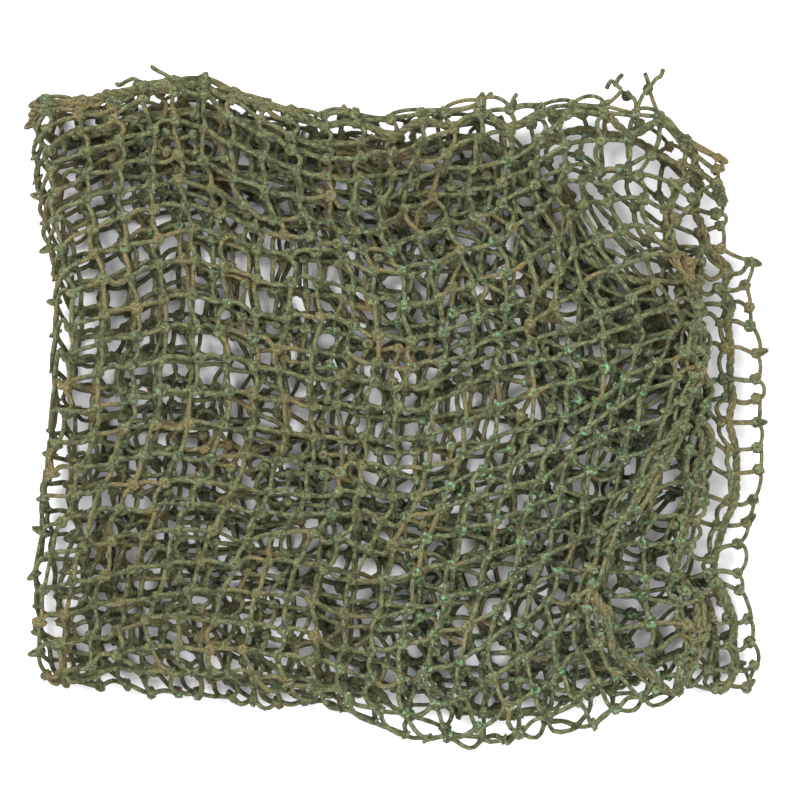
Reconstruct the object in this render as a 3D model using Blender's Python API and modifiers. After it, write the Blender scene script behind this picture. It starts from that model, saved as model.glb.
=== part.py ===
"""Helmet net of knotted twine with a drawcord through its edge meshes, folded in four and lying flat.

Lengths are in millimetres until they reach Blender. The folded stack lies with its two folds at the
left (-X) and at the front (-Y) and its open, corded edges at the right (+X) and at the back (+Y).
The flat net is described by u, across, and v, along, both zero where the two folds cross.
"""

import math

import bmesh
import bpy

MM = 0.001

# Driving dimensions. CELL is this model's mesh. The real one is about 15 mm across the net by 13 mm
# along it, so one cell stands for nearly two meshes each way.
CELL = 25.4
CELLS_ACROSS = 27
CELLS_ALONG = 23
TWINE = 2.0
BAR_WIDTH = 4.0
CORD_DIAMETER = 4.0
CORD_INSET = 17.0
STEP_IN_PAIR = 6.4
STEP_BETWEEN_PAIRS = 7.0

# Half the flat net from its middle to its outermost row of knots.
HALF_U = CELLS_ACROSS * CELL / 2
HALF_V = CELLS_ALONG * CELL / 2

# Weave of the cord through the bars it crosses: how far each leaves the other's plane.
BAR_RISE = 1.7
CORD_RISE = 1.7
CORD_RAMP = 3.5
CORD_CORNER = 8.0
NEARLY = 0.01

# The front fold joins the two layers of each pair, and the left fold joins the upper pair to the
# lower one. These are the front fold's radius and the left fold's mean radius, to the twine's middle.
FRONT_RADIUS = STEP_IN_PAIR / 2
LEFT_RADIUS = (STEP_IN_PAIR + STEP_BETWEEN_PAIRS) / 2
LOWEST_LAYER = -(LEFT_RADIUS + FRONT_RADIUS)
QUARTER_TURN = math.pi / 2

# Reach of the neatly folded stack, from the folds' own middles.
STACK_LEFT = LOWEST_LAYER
STACK_RIGHT = HALF_U + BAR_WIDTH / 2 - QUARTER_TURN * (LEFT_RADIUS - FRONT_RADIUS)
STACK_FRONT = -FRONT_RADIUS
STACK_BACK = HALF_V + BAR_WIDTH / 2 - QUARTER_TURN * FRONT_RADIUS

# How the folded stack lies: it is loftier at its edges, and its lowest layer rises where the cord
# runs under it. Each pair is where a rise starts and ends, across the neat stack.
FLAT_LOFT = 0.72
RESTING_HEIGHT = TWINE / 2
CORDED_HEIGHT = 4.1
RIGHT_RISE = (245.0, 290.0)
BACK_RISE = (215.0, 255.0)
LEFT_FALL = (12.0, 75.0)
FRONT_FALL = (8.0, 65.0)
# The upper pair is drawn back from the right edge, and all layers from the far corner. PARTING is
# how far either side of the stack's middle the upper pair's pull sets in.
UPPER_PULL = 28.0
PARTING = 1.0
CORNER_PULL = 16.0
FOOTPRINT_SHIFT = (1.49, 1.62)

# Outline of the folded stack as it lies. share is 0 at the front fold and 1 at the back edge.
SIDES = (
    # share, left, right
    (0.00, -164.0, 164.0),
    (0.12, -167.0, 161.0),
    (0.22, -166.0, 158.0),
    (0.36, -164.0, 167.0),
    (0.52, -160.5, 168.0),
    (0.66, -158.5, 166.0),
    (0.78, -163.0, 161.0),
    (0.90, -168.0, 162.0),
    (1.00, -170.0, 161.0),
)
# share is 0 at the left fold and 1 at the right edge.
ENDS = (
    # share, front, back
    (0.00, -127.0, 143.0),
    (0.10, -129.5, 145.0),
    (0.20, -133.0, 153.0),
    (0.30, -135.0, 144.5),
    (0.40, -139.0, 139.5),
    (0.50, -150.0, 137.0),
    (0.59, -155.5, 142.0),
    (0.68, -151.5, 142.5),
    (0.78, -144.5, 141.5),
    (0.88, -135.0, 136.0),
    (1.00, -128.0, 130.0),
)
# Soft ridges in the upper layers, where the net is bunched.
RIDGES = (
    # x, y, half_length, half_width, angle_deg, height
    (-95.0, 112.0, 60.0, 20.0, -6.0, 2.0),
    (20.0, 112.0, 60.0, 20.0, 4.0, 2.5),
    (82.0, 30.0, 75.0, 22.0, -58.0, 4.5),
    (118.0, 12.0, 70.0, 20.0, 88.0, 2.0),
    (88.0, -100.0, 40.0, 20.0, 80.0, 5.0),
    (-60.0, -60.0, 90.0, 24.0, 25.0, 2.0),
)
# Cut ends of twine on the back edge: which bar they grow from, which way they lean, how long they are.
TAILS = (
    # bar, side, lean, length
    (11.5, 1, -4.0, 11.0),
    (10.5, 1, 4.0, 12.0),
    (1.5, 1, -4.0, 5.0),
)
TAIL_WIDTH = 2.2

NET_COLOUR = (0.118, 0.140, 0.052, 1.0)
CORD_COLOUR = (0.150, 0.142, 0.060, 1.0)


def smooth_step(value, low, high):
    """0 below low, 1 above high and an S-curve between."""
    share = min(1.0, max(0.0, (value - low) / (high - low)))
    return share * share * (3 - 2 * share)


def through(rows, column, at):
    """The value at a share on a smooth curve through one column of a table."""
    last = len(rows) - 2
    i = max(k for k in range(last + 1) if k == 0 or rows[k][0] <= at)

    def slope(k):
        a, b = rows[max(k - 1, 0)], rows[min(k + 1, last + 1)]
        return (b[column] - a[column]) / (b[0] - a[0])

    a, b = rows[i], rows[i + 1]
    span = b[0] - a[0]
    t = min(1.0, max(0.0, (at - a[0]) / span))
    return (
        (1 + 2 * t) * (1 - t) ** 2 * a[column]
        + t * (1 - t) ** 2 * span * slope(i)
        + t * t * (3 - 2 * t) * b[column]
        - t * t * (1 - t) * span * slope(i + 1)
    )


def fold(u, v, off=0.0):
    """A point of the flat net, off its plane by off, in the neatly folded stack."""
    front = v / FRONT_RADIUS
    radius = FRONT_RADIUS + off
    if abs(front) < QUARTER_TURN:
        y = -radius * math.cos(front)
        level = math.sin(front)
    else:
        y = abs(v) - QUARTER_TURN * FRONT_RADIUS
        level = math.copysign(1.0, v)
    bend = LEFT_RADIUS + FRONT_RADIUS * level
    reach = LEFT_RADIUS + radius * level
    left = u / bend
    if abs(left) < QUARTER_TURN:
        return -reach * math.cos(left), y, reach * math.sin(left)
    return abs(u) - QUARTER_TURN * bend, y, math.copysign(reach, u)


def edge_lift(x, y):
    """0 in the middle of the stack and 1 along its two corded edges."""
    right = smooth_step(x, *RIGHT_RISE)
    back = smooth_step(y, *BACK_RISE)
    return 1 - (1 - right) * (1 - back)


def fold_lift(x, y):
    """0 in the middle of the stack and 1 along its two folds."""
    left = 1 - smooth_step(x, *LEFT_FALL)
    front = 1 - smooth_step(y, *FRONT_FALL)
    return 1 - (1 - left) * (1 - front)


def ridges(x, y):
    total = 0.0
    for ridge_x, ridge_y, half_length, half_width, angle, height in RIDGES:
        turn = math.radians(angle)
        along = (x - ridge_x) * math.cos(turn) + (y - ridge_y) * math.sin(turn)
        aside = (y - ridge_y) * math.cos(turn) - (x - ridge_x) * math.sin(turn)
        total += height * math.exp(-((along / half_length) ** 2) - (aside / half_width) ** 2)
    return total


def lay(point):
    """A point of the neat stack where it lies: drawn to the outline, and lofted."""
    x, y, z = point
    share_x = (x - STACK_LEFT) / (STACK_RIGHT - STACK_LEFT)
    share_y = (y - STACK_FRONT) / (STACK_BACK - STACK_FRONT)
    upper = smooth_step(z, -PARTING, PARTING)
    pull = UPPER_PULL * upper * max(share_x, 0.0) ** 3
    corner = CORNER_PULL * (max(share_x, 0.0) * max(share_y, 0.0)) ** 6
    left, right = (through(SIDES, k, share_y) for k in (1, 2))
    front, back = (through(ENDS, k, share_x) for k in (1, 2))
    placed_x = left + share_x * (right - left) - pull - corner
    placed_y = front + share_y * (back - front) - corner
    lift = edge_lift(x, y)
    loft = FLAT_LOFT + (1 - FLAT_LOFT) * (1 - (1 - lift) * (1 - fold_lift(x, y)))
    above = z - LOWEST_LAYER
    height = RESTING_HEIGHT + (CORDED_HEIGHT - RESTING_HEIGHT) * lift + above * loft
    height += ridges(placed_x, placed_y) * above / (-2 * LOWEST_LAYER)
    return (
        (placed_x + FOOTPRINT_SHIFT[0]) * MM,
        (placed_y + FOOTPRINT_SHIFT[1]) * MM,
        height * MM,
    )


def weave(u, v):
    """Which side of a crossing bar the cord leaves free: 1 outwards, -1 inwards, 0 away from the cord."""
    to_back = abs(HALF_V - CORD_INSET - abs(v)) <= CORD_RAMP + NEARLY
    to_side = abs(HALF_U - CORD_INSET - abs(u)) <= CORD_RAMP + NEARLY
    if to_back == to_side:
        return 0.0
    if to_back:
        return math.copysign(1, v) * round(math.sin(math.pi * bar_at(u) / CELL))
    return math.copysign(1, u) * round(math.sin(math.pi * bar_at(v) / CELL))


def bar_at(place):
    """The middle of the bar nearest to a place across the net."""
    return (math.floor(place / CELL) + 0.5) * CELL


def bars_of(cells):
    """The middles of all bars across the net, whose fold falls in the middle of a gap."""
    return [(k - cells / 2) * CELL for k in range(cells + 1)]


def lines_of(cells, half, fold_arc):
    """Where the net's grid has vertices: both sides of every bar, the cord's two sides and the fold."""
    lines = [bar + side * BAR_WIDTH / 2 for bar in bars_of(cells) for side in (-1, 1)]
    cord = half - CORD_INSET
    lines += [sign * (cord + side * CORD_RAMP) for sign in (-1, 1) for side in (-1, 1)]
    lines += [fold_arc * share for share in (-1.0, -0.5, 0.0, 0.5, 1.0)]
    return sorted(lines)


def on_bar(low, high):
    """Whether the strip between two grid lines is a bar and not a gap."""
    middle = (low + high) / 2
    return abs(middle - bar_at(middle)) < BAR_WIDTH / 2


def cell_of(place):
    """How many cells from the fold a place lies, 0 for the cells on the fold itself."""
    return round(abs(place) / CELL)


def is_cut(u, v):
    """Whether the gap here is cut: those of the top layer, both folds and the corded edge."""
    across, along = cell_of(u), cell_of(v)
    on_fold = across == 0 or along == 0
    on_edge = across == CELLS_ACROSS // 2 or along == CELLS_ALONG // 2
    return on_fold or on_edge or (u > 0 and v > 0)


def in_plain_block(u, v):
    """Whether a place is well inside a layer whose gaps stay uncut."""
    inner = CELL / 2 + BAR_WIDTH / 2
    outer_u = HALF_U - CELL - BAR_WIDTH / 2
    outer_v = HALF_V - CELL - BAR_WIDTH / 2
    return inner < abs(u) < outer_u and inner < abs(v) < outer_v and not (u > 0 and v > 0)


def net_faces(lines_u, lines_v):
    """The net's faces, each a list of (u, v) corners. Plain layers have one face for a whole cell."""
    faces = []
    for u0, u1 in zip(lines_u, lines_u[1:]):
        for v0, v1 in zip(lines_v, lines_v[1:]):
            middle = ((u0 + u1) / 2, (v0 + v1) / 2)
            gap = not on_bar(u0, u1) and not on_bar(v0, v1)
            if in_plain_block(*middle) or (gap and is_cut(*middle)):
                continue
            faces.append([(u0, v0), (u1, v0), (u1, v1), (u0, v1)])
    return faces + plain_faces(lines_u, lines_v)


def plain_faces(lines_u, lines_v):
    """Whole cells of the plain layers. A cell at a layer's border keeps the border's extra corners."""
    faces = []
    for sign_u, sign_v in ((1, -1), (-1, -1), (-1, 1)):
        block_u = [u for u in lines_u if in_closed_span(u * sign_u, HALF_U)]
        block_v = [v for v in lines_v if in_closed_span(v * sign_v, HALF_V)]
        coarse_u = block_u[::2] + block_u[-1:]
        coarse_v = block_v[::2] + block_v[-1:]
        for u0, u1 in zip(coarse_u, coarse_u[1:]):
            for v0, v1 in zip(coarse_v, coarse_v[1:]):
                between_u = [u for u in block_u if u0 < u < u1]
                between_v = [v for v in block_v if v0 < v < v1]
                face = [(u0, v0)]
                face += [(u, v0) for u in between_u if v0 == block_v[0]]
                face += [(u1, v0)]
                face += [(u1, v) for v in between_v if u1 == block_u[-1]]
                face += [(u1, v1)]
                face += [(u, v1) for u in reversed(between_u) if v1 == block_v[-1]]
                face += [(u0, v1)]
                face += [(u0, v) for v in reversed(between_v) if u0 == block_u[0]]
                faces.append(face)
    return faces


def in_closed_span(place, half):
    """Whether a grid line borders or crosses a plain layer."""
    low = CELL / 2 + BAR_WIDTH / 2
    high = half - CELL - BAR_WIDTH / 2
    return low - NEARLY < place < high + NEARLY


def tail_faces():
    """Tapered strips that carry on from the back edge, in two steps each."""
    faces = []
    edge = HALF_V + BAR_WIDTH / 2
    for bar, side, lean, length in TAILS:
        u = side * bar * CELL
        roots = [(u - BAR_WIDTH / 2, edge), (u + BAR_WIDTH / 2, edge)]
        for step in (1, 2):
            middle = u + lean * step
            far = edge + length * step / 2
            tips = [(middle - TAIL_WIDTH / 2, far), (middle + TAIL_WIDTH / 2, far)]
            faces.append([roots[0], roots[1], tips[1], tips[0]])
            roots = tips
    return faces


def make_material(name, colour, roughness):
    material = bpy.data.materials.new(name)
    material.use_nodes = True
    shader = material.node_tree.nodes["Principled BSDF"]
    shader.inputs["Base Color"].default_value = colour
    shader.inputs["Roughness"].default_value = roughness
    shader.inputs["Metallic"].default_value = 0.0
    material.diffuse_color = colour
    return material


def make_net(collection):
    """One sheet of twine's thickness, cut by its gaps and folded twice."""
    fold_arc = QUARTER_TURN * FRONT_RADIUS
    lines_u = lines_of(CELLS_ACROSS, HALF_U, fold_arc)
    lines_v = lines_of(CELLS_ALONG, HALF_V, fold_arc)
    shape = bmesh.new()
    made = {}

    def vertex(corner):
        key = (round(corner[0], 3), round(corner[1], 3))
        if key not in made:
            rise = BAR_RISE * weave(*corner)
            made[key] = shape.verts.new(lay(fold(corner[0], corner[1], rise)))
        return made[key]

    for face in net_faces(lines_u, lines_v) + tail_faces():
        shape.faces.new([vertex(corner) for corner in face])
    mesh = bpy.data.meshes.new("net")
    shape.to_mesh(mesh)
    shape.free()
    net = bpy.data.objects.new("net", mesh)
    collection.objects.link(net)
    thick = net.modifiers.new("Twine thickness", "SOLIDIFY")
    thick.thickness = TWINE * MM
    thick.offset = 0.0
    net.data.materials.append(make_material("net_twine", NET_COLOUR, 0.9))
    return net


def cord_side(half_along, half_across, fold_arc):
    """Places along one side of the cord's rectangle, from its low end to its high one."""
    places = set()
    for bar in bars_of(round(2 * half_along / CELL))[1:-1]:
        places |= {round(bar - CORD_RAMP, 3), round(bar + CORD_RAMP, 3)}
    places |= {round(fold_arc * share, 3) for share in (-1.0, -0.67, -0.33, 0.0, 0.33, 0.67, 1.0)}
    across = half_across - CORD_INSET
    return [(place, across) for place in sorted(places)]


def cord_rise(place, sign):
    """How far the cord stands off the net, against the bar it crosses, flat over each bar."""
    bar = bar_at(place)
    here = round(math.sin(math.pi * bar / CELL))
    beside = abs(place - bar)
    if beside <= CORD_RAMP + NEARLY:
        return -CORD_RISE * here * sign
    share = (CELL / 2 - beside) / (CELL / 2 - CORD_RAMP)
    return -CORD_RISE * here * sign * share


def cord_route():
    """Points (u, v, off) once round the net, inside its edge, over and under the bars."""
    fold_arc = QUARTER_TURN * FRONT_RADIUS
    long_side = cord_side(HALF_U, HALF_V, fold_arc)
    short_side = cord_side(HALF_V, HALF_U, fold_arc)
    corner_u = HALF_U - CORD_INSET - CORD_CORNER * (1 - math.sin(math.pi / 4))
    corner_v = HALF_V - CORD_INSET - CORD_CORNER * (1 - math.sin(math.pi / 4))
    last_rise = abs(cord_rise(long_side[-1][0], 1))
    route = [(u, v, cord_rise(u, 1)) for u, v in long_side]
    route.append((corner_u, corner_v, -last_rise))
    route += [(u, v, cord_rise(v, 1)) for v, u in reversed(short_side)]
    route.append((corner_u, -corner_v, last_rise))
    route += [(u, -v, cord_rise(u, -1)) for u, v in reversed(long_side)]
    route.append((-corner_u, -corner_v, -last_rise))
    route += [(-u, v, cord_rise(v, -1)) for v, u in short_side]
    route.append((-corner_u, corner_v, last_rise))
    return route


def make_cord(collection):
    """A closed loop of round cord."""
    route = cord_route()
    curve = bpy.data.curves.new("drawcord", "CURVE")
    curve.dimensions = "3D"
    curve.bevel_depth = CORD_DIAMETER / 2 * MM
    curve.bevel_resolution = 2
    curve.use_fill_caps = True
    spline = curve.splines.new("POLY")
    spline.points.add(len(route) - 1)
    for point, (u, v, off) in zip(spline.points, route):
        point.co = (*lay(fold(u, v, off)), 1.0)
    spline.use_cyclic_u = True
    spline.use_smooth = True
    cord = bpy.data.objects.new("drawcord", curve)
    collection.objects.link(cord)
    curve.materials.append(make_material("cord_twine", CORD_COLOUR, 0.85))
    return cord


def main():
    for old in list(bpy.data.objects):
        bpy.data.objects.remove(old)
    collection = bpy.data.collections.new("helmet_net")
    bpy.context.scene.collection.children.link(collection)
    make_net(collection)
    make_cord(collection)


main()
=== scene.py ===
"""Folded helmet net of knotted twine with a drawcord, seen from straight above.

The flat net is folded in four, laid as the photograph shows, shaken a little and settled layer on layer.
Lengths are in millimetres until they reach Blender. u and v run across and along the flat net, from where
the two folds cross.
"""

import math

import bpy
import numpy as np
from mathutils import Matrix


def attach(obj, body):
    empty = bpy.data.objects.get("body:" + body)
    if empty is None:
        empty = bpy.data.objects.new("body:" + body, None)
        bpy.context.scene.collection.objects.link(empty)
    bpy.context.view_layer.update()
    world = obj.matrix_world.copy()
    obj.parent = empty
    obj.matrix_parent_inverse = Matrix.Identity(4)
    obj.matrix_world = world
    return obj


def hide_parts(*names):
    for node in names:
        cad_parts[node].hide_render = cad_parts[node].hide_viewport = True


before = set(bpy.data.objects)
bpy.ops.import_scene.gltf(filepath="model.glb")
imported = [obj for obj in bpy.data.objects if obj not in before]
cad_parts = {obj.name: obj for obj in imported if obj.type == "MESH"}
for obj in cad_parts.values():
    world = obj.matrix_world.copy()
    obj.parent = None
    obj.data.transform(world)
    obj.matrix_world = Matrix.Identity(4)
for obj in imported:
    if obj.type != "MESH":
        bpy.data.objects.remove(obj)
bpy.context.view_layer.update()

MM = 0.001
TINY = 1e-6
QUARTER_TURN = math.pi / 2
FULL_TURN = 2 * math.pi

# The photograph: millimetres to a pixel, its middle and the net's middle in it.
PHOTO_SCALE = 0.46
PHOTO_MIDDLE = (400, 400)
NET_MIDDLE = (401.5, 408)
FOOTPRINT_SHIFT = (1.49, 1.62)
CAMERA_HEIGHT = 1250
LOOK_HEIGHT = 14
SENSOR = 36

# The flat net, from its middle to the tips of its edge loops.
HALF_U = 342.9
HALF_V = 292.1
EDGE_LOOP = 3.5
MESHES_LEFT = 25
MESHES_RIGHT = 23
MESHES_V = 23
PITCH_LEFT = (HALF_U - EDGE_LOOP) / MESHES_LEFT
PITCH_RIGHT = (HALF_U - EDGE_LOOP) / MESHES_RIGHT
PITCH_V = (HALF_V - EDGE_LOOP) / MESHES_V
COLUMNS = np.arange(-MESHES_LEFT, MESHES_RIGHT + 1)
ROWS = np.arange(-MESHES_V, MESHES_V + 1)

# The rows that the top layer loses at its back edge, and between which u.
DROPPED_ROWS = 6
DROPPED_U = (100, 330)

# The twine, with its length from knot to knot.
BAR_LENGTH_U = 16.4
BAR_LENGTH_V = 16
TWINE_RADIUS = 1.16
UNEVENNESS = 0.05
SWELL_AT_KNOT = 1.5
KNOT_RADIUS = 2.5

# A bar of twine. It bows and rises by shares of what its slack allows.
BAR_SEGMENTS = 6
ALONG_BAR = np.linspace(0, 1, BAR_SEGMENTS + 1)
BAR_SIDES = 5
BOW_SHARES = (0.6, 0.75)
BOW_LENGTH = 70
RISE_SHARES = (-0.15, 0.4)
LEAST_SLACK = 0.1
LEG_REACH = 0.95

# The loops of the open edges, and the ears, which stand out from some knots.
LOOP_POINTS = 11
LOOP_RADIUS = 1.0
LOOP_REACH = (0.2, 1.1)
LOOP_TURN = 0.15
LOOP_SLOPE = 0.3
LOOP_SWING = 0.7
EAR_SHARE = 0.35
FOLD_EAR_SHARE = 0.4
EAR_REACH = 4.6
EAR_SIZES = (0.7, 1.2)
EAR_TURN = 0.5
EAR_WIDTHS = (0.20, 0.12)
EAR_POINTS = 12

# One knot's wrap: x and y follow the two twines, z stands off the net. WRAP_SCALE is its unit.
KNOT_WRAP = (
    (-1.05, -0.35, 0.25),
    (-0.45, 0.75, 0.62),
    (0.70, 0.90, 0.10),
    (1.05, 0.10, -0.55),
    (0.25, -0.75, -0.62),
    (-0.70, -0.55, 0.05),
    (-0.62, 0.45, 0.75),
    (0.35, 0.55, 0.85),
    (0.95, -0.45, 0.45),
    (0.15, -1.05, -0.15),
    (-0.80, 0.10, -0.70),
    (-0.35, 0.95, -0.40),
    (0.55, 0.30, -0.80),
    (0.30, -0.60, 0.70),
)
WRAP_KINDS = 5
WRAP_BEND = 0.10
WRAP_TURN = 0.2
WRAP_SIZE = 0.06
WRAP_POINTS = 19
WRAP_SIDES = 5
WRAP_SCALE = 1.75
WRAP_RADIUS = 1.22

# A strand's tone is a random share, raised by this in a knot.
KNOT_TONE = 2
# Where along its twist a strand starts, for a tone of 1.
TONE_OFFSET = 50

# The drawcord, its three strands and its weave through the bars it crosses.
CORD_INSET = 14
CORD_RADIUS = 2
STRAND_RADIUS = 1.02
STRAND_SIDES = 6
STRAND_TONES = (0.3, 0.5, 0.7)
CORD_POINTS = 1700
CORD_LAY = 13
CORD_RISE = 1.7
CORD_OVER = (30, 120)
BAR_RISE = 1.5
BAR_RISE_WIDTH = 0.28

# The folds, as in the solids.
STEP_IN_PAIR = 6.4
STEP_BETWEEN_PAIRS = 7
FRONT_RADIUS = STEP_IN_PAIR / 2
LEFT_RADIUS = (STEP_IN_PAIR + STEP_BETWEEN_PAIRS) / 2
LOWEST_LAYER = -(LEFT_RADIUS + FRONT_RADIUS)
EDGE_MARGIN = 2
STACK_LEFT = LOWEST_LAYER
STACK_WIDTH = HALF_U + EDGE_MARGIN - QUARTER_TURN * (LEFT_RADIUS - FRONT_RADIUS) - STACK_LEFT
STACK_FRONT = -FRONT_RADIUS
STACK_DEPTH = HALF_V + EDGE_MARGIN - QUARTER_TURN * FRONT_RADIUS - STACK_FRONT

# How far the folds run off the net's middle meshes.
LEFT_SHEARS = np.array((
    # v, either way from the middle; shift of the left fold along u
    (0, 28),
    (45, 17),
    (100, 3),
    (170, 0),
))
FRONT_SHEARS = np.array((
    # u, shift of the front fold along v
    (0, 0),
    (60, 11),
    (118, 19),
    (206, 26),
    (265, 48),
    (343, 66),
))

# The stack's outline.
SIDES = np.array((
    # share of the way from front to back, left, right
    (0.00, -163.5, 167),
    (0.05, -168, 166.5),
    (0.12, -170, 166),
    (0.22, -166, 160),
    (0.36, -164, 167),
    (0.52, -160.5, 168),
    (0.66, -158.5, 165.5),
    (0.70, -160.5, 163.5),
    (0.75, -163, 166),
    (0.80, -165, 157),
    (0.86, -166, 151),
    (0.92, -166.5, 152.5),
    (1.00, -170, 155),
))
ENDS = np.array((
    # share of the way from left to right, front, back
    (0.00, -127, 143),
    (0.10, -129.5, 145),
    (0.20, -133, 153),
    (0.30, -138, 144.5),
    (0.40, -141.5, 139.5),
    (0.50, -150, 137),
    (0.59, -155.5, 142),
    (0.68, -151.5, 142.5),
    (0.78, -142, 141.5),
    (0.83, -139, 140.8),
    (0.88, -131, 139.5),
    (0.93, -129, 130),
    (1.00, -127, 130),
))

# Where a fold's sides go over into each other: a share of the depth, a height and a length of u.
FRONT_EASE = 0.25
PARTING = 1
LEFT_EASE = 12

# The top layer's rows lie back by a steady share and one that grows with the depth, both between these u.
ROW_RISE = (0.31, 0.80)
ROW_RISE_FAR = (0.21, 0.05)
ROW_RISE_U = (60, 240)

# How far the second layer's rows are stretched back at most, up to these u.
SECOND_REACH = 27
SECOND_REACH_U = (220, 290)

# How far the layers lie off the outline: a shift at an edge or corner and the power that it grows with.
# First the right edges.
SECOND_PULL = (13, 6)
BOTTOM_PULL = (15, 4)
UPPER_SPREAD = (6.4, 1)
# The back right corner.
CORNER_PULL_X = (5, 12)
CORNER_PULL_Y = (26, 12)
BOTTOM_RETREAT = (42, 3)
THIRD_RETREAT_X = (6.5, 6)
THIRD_RETREAT_Y = (13, 6)
# The back edges of the top, second, third and bottom layers, up to these shares of the width.
BACK_PULLS = (0, 3, 8, 5.5)
BACK_PULL_POWER = 6
BACK_PULL_END = (0.55, 0.85)
# The front folds of the upper two layers left of the middle, and of the lower two right of it.
UPPER_FRONT_PULL = (11, 6)
UPPER_FRONT_START = (0, 0.15)
LOWER_FRONT_PULL = (13, 6)
LOWER_FRONT_END = (0.82, 0.95)
FRONT_MIDDLE = (0.28, 0.48)
# The left fold of the inner two layers, over this v and share of the width.
INNER_FOLD_PULL = 5
INNER_FOLD_EASE = 40
INNER_FOLD_END = 0.16

# The tuck of the upper two layers' right edge: how much of it, how far in, how softly and up to which v.
TUCK = 26
TUCK_SHARE = 1.3
TUCK_SOFTNESS = 3
TUCK_V = (150, 190)

# Heights. The stack is loose at its folds and corded edges and pressed together between.
FLAT_LOFT = 0.62
RESTING_HEIGHT = 2.2
CORDED_HEIGHT = 4.1
RIGHT_RISE = (245, 290)
BACK_RISE = (215, 255)
LEFT_FALL = (12, 75)
FRONT_FALL = (8, 65)
RIDGES = (
    # x, y, half_length, half_width, angle_deg, height
    (-95, 112, 60, 20, -6, 2),
    (20, 112, 60, 20, 4, 2.5),
    (82, 30, 75, 22, -58, 4.5),
    (118, 12, 70, 20, 88, 2),
    (88, -100, 40, 20, 80, 5),
    (-60, -60, 90, 24, 25, 2),
)

# Where the layers are pushed about. level is 0 for the bottom layer and 1 for the top.
DRIFTS = (
    # x, y, half_x, half_y, shift_x, shift_y, level, spread
    (125, -84, 42, 40, -4, 0, 1, 0.3),
    (132, 10, 30, 32, 10, 0, 1, 0.25),
    (116, -45, 26, 20, -8, 0, 1, 0.25),
    (112, -110, 28, 27, -20, 0, 1, 0.2),
    (92, 100, 36, 36, 10, -32, 0, 0.2),
    (92, 100, 40, 28, 4, 10, 0.33, 0.12),
    (92, 100, 36, 36, 8, -28, 0.67, 0.2),
    (-115, 85, 90, 40, 0, 18, 0.5, 0.45),
)

# Where the layers are gathered towards a point (share below 0) or spread from it.
GATHERS = (
    # x, y, radius, share, level, spread
    (93, -80, 26, -0.6, 1, 0.4),
    (114, -95, 24, 0.5, 0.5, 0.6),
    (110, 100, 34, 0.3, 0.3, 0.3),
)

# Where the top layer's cord has slid towards the back edge (shift above 0) or away from it.
CORD_SLIDES = (
    # x, half_width, shift
    (-105, 34, 13),
    (-38, 16, -4),
    (33, 14, 6),
    (81, 17, 12),
    (114, 15, 9),
)
SLIDE_DEPTH = 14

# How uneven the net is. Long sways and short curls fade towards the top layer, the edges and the left fold.
SWAY = 4.5
SWAY_LENGTH = 85
SWAY_BY_LEVEL = (1.1, 0.7)
SWAY_AT_EDGE = 0.25
CURL = 3.2
CURL_LENGTH = 38
CURL_BY_LEVEL = (1.25, 0.25)
CURL_AT_EDGE = 0.2
DRIFT_AT_EDGE = 0.15
EDGE_EASE = 0.12
CALM = 0.45
CALM_END = (0.18, 0.45)
KNOT_SHIFT = 0.9
KNOT_TURN = 13
LEG_TURN = 15
LEG_TURN_SHARES = (0.4, 1.5)
RIPPLE = 0.8
RIPPLE_LENGTH = 60

# How stretched and crowded bars move their knots, and how firmly these are held in place.
PULL_ROUNDS = 120
PULL = 0.25
CROWDED = 0.22
HOLD_WITHIN = 0.03
HOLD_AT_EDGE = 0.4

# How the layers settle. Crossing twines stand clear, fully up to the first share of the distance at which
# they touch and not at all beyond the second.
LAYERS = 6
EASE_ROUNDS = 12
TOUCH = (0.55, 1.15)
LEAST_CLEARANCE = 0.05
HELD_AT_FOLD = 0.6

# Cut ends of twine, each from a knot: pixels of the photograph, from the net outwards.
CUT_ENDS = (
    ((605, 113), (612, 101), (620, 92), (616, 87), (617, 81), (622, 75)),
    ((637, 112), (634, 103), (627, 96), (620, 92)),
    ((655, 116), (652, 104), (648, 89), (647, 81), (645, 74)),
    ((632, 110), (640, 99), (648, 89), (655, 80), (660, 77), (663, 70)),
    ((175, 84), (166, 76), (159, 72), (152, 67)),
    ((150, 82), (137, 81), (128, 83), (121, 86), (117, 84)),
    ((484, 101), (488, 97), (491, 94)),
    ((509, 106), (513, 100), (516, 95)),
)
CUT_TWIG = ((616, 87), (614, 83), (611, 81), (609, 83), (607, 87), (606, 89))
CUT_KNOTS = ((627, 96), (648, 89))
CUT_HEIGHT = 15
CUT_POINTS = 14
CUT_FRAY = 1.15

QUARTERS = (
    # name, side of u, side of v, from the bottom layer up
    ("bottom", -1, 1),
    ("third", -1, -1),
    ("second", 1, -1),
    ("top", 1, 1),
)

TWINES = {
    # base, dark, tan and green in steps of 0 to 255, and the share of green
    "net_twine": ((104, 106, 74), (60, 63, 42), (114, 101, 68), (110, 150, 118), 0.85),
    "cord_twine": ((104, 104, 74), (70, 71, 48), (114, 104, 72), (107, 140, 108), 0.35),
}

LAMPS = (
    # name, place in metres, size, power
    ("key", (-0.9, 0.9, 1.3), 0.8, 42),
    ("fill", (1.2, 0.2, 1.2), 0.9, 22),
    ("near", (0, -1.1, 1.2), 0.9, 16),
)


def ramp(value, low, high):
    """0 below low, 1 above high and an S-curve between."""
    share = np.clip((value - low) / (high - low), 0.0, 1.0)
    return share * share * (3 - 2 * share)


def blend(a, b, share):
    """What lies between a and b, at a share of the way."""
    return a + (b - a) * share


def either(a, b):
    """1 where one of two shares is 1, and 0 where both are 0."""
    return 1 - (1 - a) * (1 - b)


def bell(*offsets):
    """1 where the offsets are 0, falling to nearly 0 as one of them passes 2."""
    return np.exp(-sum(offset**2 for offset in offsets))


def hump(t):
    """0 at both ends of a bar and 1 in its middle, for shares t of it."""
    return (4 * t * (1 - t)) ** 2


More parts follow.
